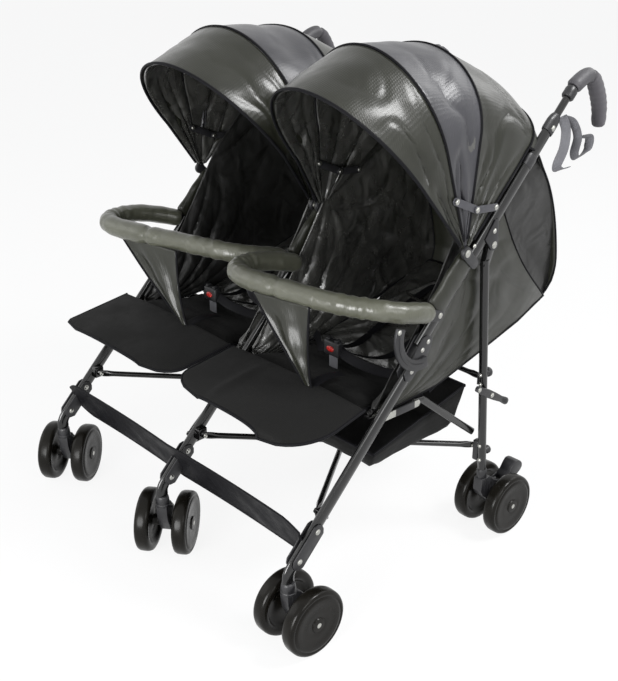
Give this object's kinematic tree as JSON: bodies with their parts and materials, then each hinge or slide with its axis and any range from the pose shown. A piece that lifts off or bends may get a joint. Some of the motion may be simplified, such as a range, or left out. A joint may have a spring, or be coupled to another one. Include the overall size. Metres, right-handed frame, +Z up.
{
  "type": "double stroller",
  "caption": "Side-by-side folding stroller with two reclined fabric seats, folding hoods, padded bars, swivelling front wheels and a sling basket.",
  "frame": {"origin": "middle of the wheels' footprint on the floor, under the middle of the overall box", "axes": "+Z up, -Y the way the seats face, +X towards the left hand of a seated child; left and right in node names are those of a viewer in front"},
  "size_m": [0.9543, 0.9529, 1.0774],
  "materials": {
    "black_gloss_paint": "gloss",
    "zinc_plated_steel": "satin",
    "black_moulding": "satin",
    "glossy_wheel": "gloss",
    "foam_grip": "matte foam",
    "black_nylon": "satin woven",
    "matte_cloth": "matte woven",
    "matte_webbing": "matte woven",
    "red_button": "gloss"
  },
  "bodies": {
    "centre_frame": {"front_leg_centre": "black_gloss_paint", "side_joint_centre": "black_moulding", "push_tube_centre": "black_gloss_paint", "grip_centre": "foam_grip", "seat_left": "black_nylon", "seat_right": "black_nylon", "hood_rear_left": "black_nylon", "hood_rear_right": "black_nylon", "footrest": "matte_webbing", "basket": "matte_cloth"},
    "left_frame": {"front_leg_left": "black_gloss_paint", "side_joint_left": "black_moulding", "push_tube_left": "black_gloss_paint", "grip_left": "foam_grip"},
    "right_frame": {"front_leg_right": "black_gloss_paint", "side_joint_right": "black_moulding", "push_tube_right": "black_gloss_paint", "grip_right": "foam_grip"},
    "rear_leg_left": {"rear_leg_left": "black_gloss_paint"},
    "front_link_left": {"side_link_front_left": "zinc_plated_steel"},
    "rear_link_left": {"side_link_rear_left": "black_gloss_paint"},
    "caster_left": {"caster_left": "black_moulding"},
    "front_wheels_left": {"front_wheels_left": "glossy_wheel"},
    "rear_wheels_left": {"rear_wheels_left": "glossy_wheel"},
    "brake_left": {"brake_left": "black_moulding"},
    "rear_leg_centre": {"rear_leg_centre": "black_gloss_paint"},
    "front_link_centre": {"side_link_front_centre": "zinc_plated_steel"},
    "rear_link_centre": {"side_link_rear_centre": "black_gloss_paint"},
    "caster_centre": {"caster_centre": "black_moulding"},
    "front_wheels_centre": {"front_wheels_centre": "glossy_wheel"},
    "rear_wheels_centre": {"rear_wheels_centre": "glossy_wheel"},
    "brake_centre": {"brake_centre": "black_moulding"},
    "rear_leg_right": {"rear_leg_right": "black_gloss_paint"},
    "front_link_right": {"side_link_front_right": "zinc_plated_steel"},
    "rear_link_right": {"side_link_rear_right": "black_gloss_paint"},
    "caster_right": {"caster_right": "black_moulding"},
    "front_wheels_right": {"front_wheels_right": "glossy_wheel"},
    "rear_wheels_right": {"rear_wheels_right": "glossy_wheel"},
    "brake_right": {"brake_right": "black_moulding"},
    "cross_bar_left_outer": {"cross_bar_left_outer": "black_gloss_paint"},
    "cross_bar_left_inner": {"cross_bar_left_inner": "black_gloss_paint"},
    "cross_bar_right_inner": {"cross_bar_right_inner": "black_gloss_paint"},
    "cross_bar_right_outer": {"cross_bar_right_outer": "black_gloss_paint"},
    "lock_link_left_outer": {"lock_link_left_outer": "black_gloss_paint"},
    "lock_link_left_inner": {"lock_link_left_inner": "black_gloss_paint"},
    "lock_link_right_inner": {"lock_link_right_inner": "black_gloss_paint"},
    "lock_link_right_outer": {"lock_link_right_outer": "black_gloss_paint"},
    "fold_lever": {"fold_lever": "black_moulding"},
    "back_left": {"back_left": "black_nylon"},
    "hood_front_left": {"hood_front_left": "black_nylon"},
    "bumper_left": {"bumper_left": "black_nylon"},
    "calf_rest_left": {"calf_rest_left": "matte_cloth"},
    "buckle_left": {"buckle_left": "black_moulding"},
    "button_left": {"button_left": "red_button"},
    "back_right": {"back_right": "black_nylon"},
    "hood_front_right": {"hood_front_right": "black_nylon"},
    "bumper_right": {"bumper_right": "black_nylon"},
    "calf_rest_right": {"calf_rest_right": "matte_cloth"},
    "buckle_right": {"buckle_right": "black_moulding"},
    "button_right": {"button_right": "red_button"}
  },
  "joints": [
    {"name": "fold", "type": "slide", "parent": "centre_frame", "child": "right_frame", "axis": [-1, 0, 0], "range_m": [0, 0.238], "deforming": ["seat_left", "seat_right", "back_left", "back_right", "hood_front_left", "hood_front_right", "hood_rear_left", "hood_rear_right", "bumper_left", "bumper_right", "calf_rest_left", "calf_rest_right", "footrest", "basket"]},
    {"name": "fold_left", "type": "slide", "parent": "centre_frame", "child": "left_frame", "axis": [1, 0, 0], "range_m": [0, 0.238]},
    {"name": "rear_leg_fold_left", "type": "hinge", "parent": "left_frame", "child": "rear_leg_left", "pos_m": [-0.37715, 0.12591, 0.685], "axis": [-1, 0, 0], "range_deg": [0, 31]},
    {"name": "front_link_fold_left", "type": "hinge", "parent": "left_frame", "child": "front_link_left", "pos_m": [-0.37715, -0.17409, 0.394], "axis": [1, 0, 0], "range_deg": [0, 137]},
    {"name": "rear_link_fold_left", "type": "hinge", "parent": "rear_leg_left", "child": "rear_link_left", "pos_m": [-0.37715, 0.13291, 0.256], "axis": [1, 0, 0], "range_deg": [0, 24]},
    {"name": "caster_swivel_left", "type": "hinge", "parent": "left_frame", "child": "caster_left", "pos_m": [-0.37715, -0.40909, 0.12], "axis": [0, 0, 1], "continuous": true},
    {"name": "front_wheels_spin_left", "type": "hinge", "parent": "caster_left", "child": "front_wheels_left", "pos_m": [-0.3922, -0.38912, 0.06914], "axis": [0.7986, 0.6018, 0], "continuous": true},
    {"name": "rear_wheels_spin_left", "type": "hinge", "parent": "rear_leg_left", "child": "rear_wheels_left", "pos_m": [-0.37715, 0.20291, 0.06914], "axis": [1, 0, 0], "continuous": true},
    {"name": "brake_press_left", "type": "hinge", "parent": "rear_leg_left", "child": "brake_left", "pos_m": [-0.37715, 0.21291, 0.103], "axis": [-1, 0, 0], "range_deg": [0, 22]},
    {"name": "rear_leg_fold_centre", "type": "hinge", "parent": "centre_frame", "child": "rear_leg_centre", "pos_m": [0.02285, 0.12591, 0.685], "axis": [-1, 0, 0], "range_deg": [0, 31]},
    {"name": "front_link_fold_centre", "type": "hinge", "parent": "centre_frame", "child": "front_link_centre", "pos_m": [0.02285, -0.17409, 0.394], "axis": [1, 0, 0], "range_deg": [0, 137]},
    {"name": "rear_link_fold_centre", "type": "hinge", "parent": "rear_leg_centre", "child": "rear_link_centre", "pos_m": [0.02285, 0.13291, 0.256], "axis": [1, 0, 0], "range_deg": [0, 24]},
    {"name": "caster_swivel_centre", "type": "hinge", "parent": "centre_frame", "child": "caster_centre", "pos_m": [0.02285, -0.40909, 0.12], "axis": [0, 0, 1], "continuous": true},
    {"name": "front_wheels_spin_centre", "type": "hinge", "parent": "caster_centre", "child": "front_wheels_centre", "pos_m": [0.00746, -0.38939, 0.06914], "axis": [0.788, 0.6157, 0], "continuous": true},
    {"name": "rear_wheels_spin_centre", "type": "hinge", "parent": "rear_leg_centre", "child": "rear_wheels_centre", "pos_m": [0.02285, 0.20291, 0.06914], "axis": [1, 0, 0], "continuous": true},
    {"name": "brake_press_centre", "type": "hinge", "parent": "rear_leg_centre", "child": "brake_centre", "pos_m": [0.02285, 0.21291, 0.103], "axis": [-1, 0, 0], "range_deg": [0, 22]},
    {"name": "rear_leg_fold_right", "type": "hinge", "parent": "right_frame", "child": "rear_leg_right", "pos_m": [0.42285, 0.12591, 0.685], "axis": [-1, 0, 0], "range_deg": [0, 31]},
    {"name": "front_link_fold_right", "type": "hinge", "parent": "right_frame", "child": "front_link_right", "pos_m": [0.42285, -0.17409, 0.394], "axis": [1, 0, 0], "range_deg": [0, 137]},
    {"name": "rear_link_fold_right", "type": "hinge", "parent": "rear_leg_right", "child": "rear_link_right", "pos_m": [0.42285, 0.13291, 0.256], "axis": [1, 0, 0], "range_deg": [0, 24]},
    {"name": "caster_swivel_right", "type": "hinge", "parent": "right_frame", "child": "caster_right", "pos_m": [0.42285, -0.40909, 0.12], "axis": [0, 0, 1], "continuous": true},
    {"name": "front_wheels_spin_right", "type": "hinge", "parent": "caster_right", "child": "front_wheels_right", "pos_m": [0.42285, -0.38409, 0.06914], "axis": [1, 0, 0], "continuous": true},
    {"name": "rear_wheels_spin_right", "type": "hinge", "parent": "rear_leg_right", "child": "rear_wheels_right", "pos_m": [0.42285, 0.20291, 0.06914], "axis": [1, 0, 0], "continuous": true},
    {"name": "brake_press_right", "type": "hinge", "parent": "rear_leg_right", "child": "brake_right", "pos_m": [0.42285, 0.21291, 0.103], "axis": [-1, 0, 0], "range_deg": [0, 22]},
    {"name": "cross_bar_fold_left_outer", "type": "hinge", "parent": "left_frame", "child": "cross_bar_left_outer", "pos_m": [-0.34915, -0.31109, 0.268], "axis": [0.4556, -0.2304, 0.8599], "range_deg": [0, 41.75]},
    {"name": "cross_bar_fold_left_inner", "type": "hinge", "parent": "centre_frame", "child": "cross_bar_left_inner", "pos_m": [-0.00515, -0.31109, 0.248], "axis": [0.4556, 0.2304, -0.8599], "range_deg": [0, 41.75]},
    {"name": "cross_bar_fold_right_inner", "type": "hinge", "parent": "centre_frame", "child": "cross_bar_right_inner", "pos_m": [0.05085, -0.31109, 0.268], "axis": [0.4556, -0.2304, 0.8599], "range_deg": [0, 41.75]},
    {"name": "cross_bar_fold_right_outer", "type": "hinge", "parent": "right_frame", "child": "cross_bar_right_outer", "pos_m": [0.39485, -0.31109, 0.248], "axis": [0.4556, 0.2304, -0.8599], "range_deg": [0, 41.75]},
    {"name": "lock_link_fold_left_outer", "type": "hinge", "parent": "rear_leg_left", "child": "lock_link_left_outer", "pos_m": [-0.35715, 0.13055, 0.385], "axis": [0, -1, 0], "range_deg": [0, 70]},
    {"name": "lock_link_fold_left_inner", "type": "hinge", "parent": "rear_leg_centre", "child": "lock_link_left_inner", "pos_m": [0.00285, 0.14255, 0.385], "axis": [0, 1, 0], "range_deg": [0, 70]},
    {"name": "lock_link_fold_right_inner", "type": "hinge", "parent": "rear_leg_centre", "child": "lock_link_right_inner", "pos_m": [0.04285, 0.13055, 0.385], "axis": [0, -1, 0], "range_deg": [0, 70]},
    {"name": "lock_link_fold_right_outer", "type": "hinge", "parent": "rear_leg_right", "child": "lock_link_right_outer", "pos_m": [0.40285, 0.14255, 0.385], "axis": [0, 1, 0], "range_deg": [0, 70]},
    {"name": "fold_lever_press", "type": "hinge", "parent": "rear_leg_right", "child": "fold_lever", "pos_m": [0.43215, 0.15091, 0.348], "axis": [-1, 0, 0], "range_deg": [0, 18]},
    {"name": "back_recline_left", "type": "hinge", "parent": "centre_frame", "child": "back_left", "pos_m": [-0.17715, -0.01495, 0.40695], "axis": [1, 0, 0], "range_deg": [0, 45]},
    {"name": "hood_fold_left", "type": "hinge", "parent": "centre_frame", "child": "hood_front_left", "pos_m": [-0.17715, 0.03491, 0.691], "axis": [-1, 0, 0], "range_deg": [0, 60], "deforming": ["hood_front_left"]},
    {"name": "bumper_lift_left", "type": "hinge", "parent": "centre_frame", "child": "bumper_left", "pos_m": [-0.18415, -0.02609, 0.579], "axis": [-1, 0, 0], "range_deg": [0, 60]},
    {"name": "calf_rest_drop_left", "type": "hinge", "parent": "centre_frame", "child": "calf_rest_left", "pos_m": [-0.17715, -0.20909, 0.435], "axis": [1, 0, 0], "range_deg": [0, 45]},
    {"name": "buckle_fold_left", "type": "slide", "parent": "centre_frame", "child": "buckle_left", "axis": [1, 0, 0], "range_m": [0, 0.119]},
    {"name": "button_press_left", "type": "slide", "parent": "buckle_left", "child": "button_left", "axis": [0, 1, 0], "range_m": [0, 0.003], "stiffness_N_per_m": 400, "springref_m": -0.0015},
    {"name": "back_recline_right", "type": "hinge", "parent": "centre_frame", "child": "back_right", "pos_m": [0.22285, -0.01495, 0.40695], "axis": [1, 0, 0], "range_deg": [0, 45]},
    {"name": "hood_fold_right", "type": "hinge", "parent": "centre_frame", "child": "hood_front_right", "pos_m": [0.22285, 0.03491, 0.691], "axis": [-1, 0, 0], "range_deg": [0, 60], "deforming": ["hood_front_right"]},
    {"name": "bumper_lift_right", "type": "hinge", "parent": "centre_frame", "child": "bumper_right", "pos_m": [0.22985, -0.02609, 0.579], "axis": [-1, 0, 0], "range_deg": [0, 60]},
    {"name": "calf_rest_drop_right", "type": "hinge", "parent": "centre_frame", "child": "calf_rest_right", "pos_m": [0.22285, -0.20909, 0.435], "axis": [1, 0, 0], "range_deg": [0, 45]},
    {"name": "buckle_fold_right", "type": "slide", "parent": "centre_frame", "child": "buckle_right", "axis": [-1, 0, 0], "range_m": [0, 0.119]},
    {"name": "button_press_right", "type": "slide", "parent": "buckle_right", "child": "button_right", "axis": [0, 1, 0], "range_m": [0, 0.003], "stiffness_N_per_m": 400, "springref_m": -0.0015}
  ],
  "couplings": [
    {"joint": "fold_left", "follows": "fold", "ratio": 1},
    {"joint": "rear_leg_fold_left", "follows": "fold", "rad_per_m": 2.2733},
    {"joint": "front_link_fold_left", "follows": "fold", "rad_per_m": 10.047},
    {"joint": "rear_link_fold_left", "follows": "fold", "rad_per_m": 1.76},
    {"joint": "rear_leg_fold_centre", "follows": "fold", "rad_per_m": 2.2733},
    {"joint": "front_link_fold_centre", "follows": "fold", "rad_per_m": 10.047},
    {"joint": "rear_link_fold_centre", "follows": "fold", "rad_per_m": 1.76},
    {"joint": "rear_leg_fold_right", "follows": "fold", "rad_per_m": 2.2733},
    {"joint": "front_link_fold_right", "follows": "fold", "rad_per_m": 10.047},
    {"joint": "rear_link_fold_right", "follows": "fold", "rad_per_m": 1.76},
    {"joint": "cross_bar_fold_left_outer", "follows": "fold", "rad_per_m": 3.0616},
    {"joint": "cross_bar_fold_left_inner", "follows": "fold", "rad_per_m": 3.0616},
    {"joint": "cross_bar_fold_right_inner", "follows": "fold", "rad_per_m": 3.0616},
    {"joint": "cross_bar_fold_right_outer", "follows": "fold", "rad_per_m": 3.0616},
    {"joint": "lock_link_fold_left_outer", "follows": "fold", "rad_per_m": 5.1333},
    {"joint": "lock_link_fold_left_inner", "follows": "fold", "rad_per_m": 5.1333},
    {"joint": "lock_link_fold_right_inner", "follows": "fold", "rad_per_m": 5.1333},
    {"joint": "lock_link_fold_right_outer", "follows": "fold", "rad_per_m": 5.1333},
    {"joint": "buckle_fold_left", "follows": "fold", "ratio": 0.4999},
    {"joint": "buckle_fold_right", "follows": "fold", "ratio": 0.4999}
  ]
}
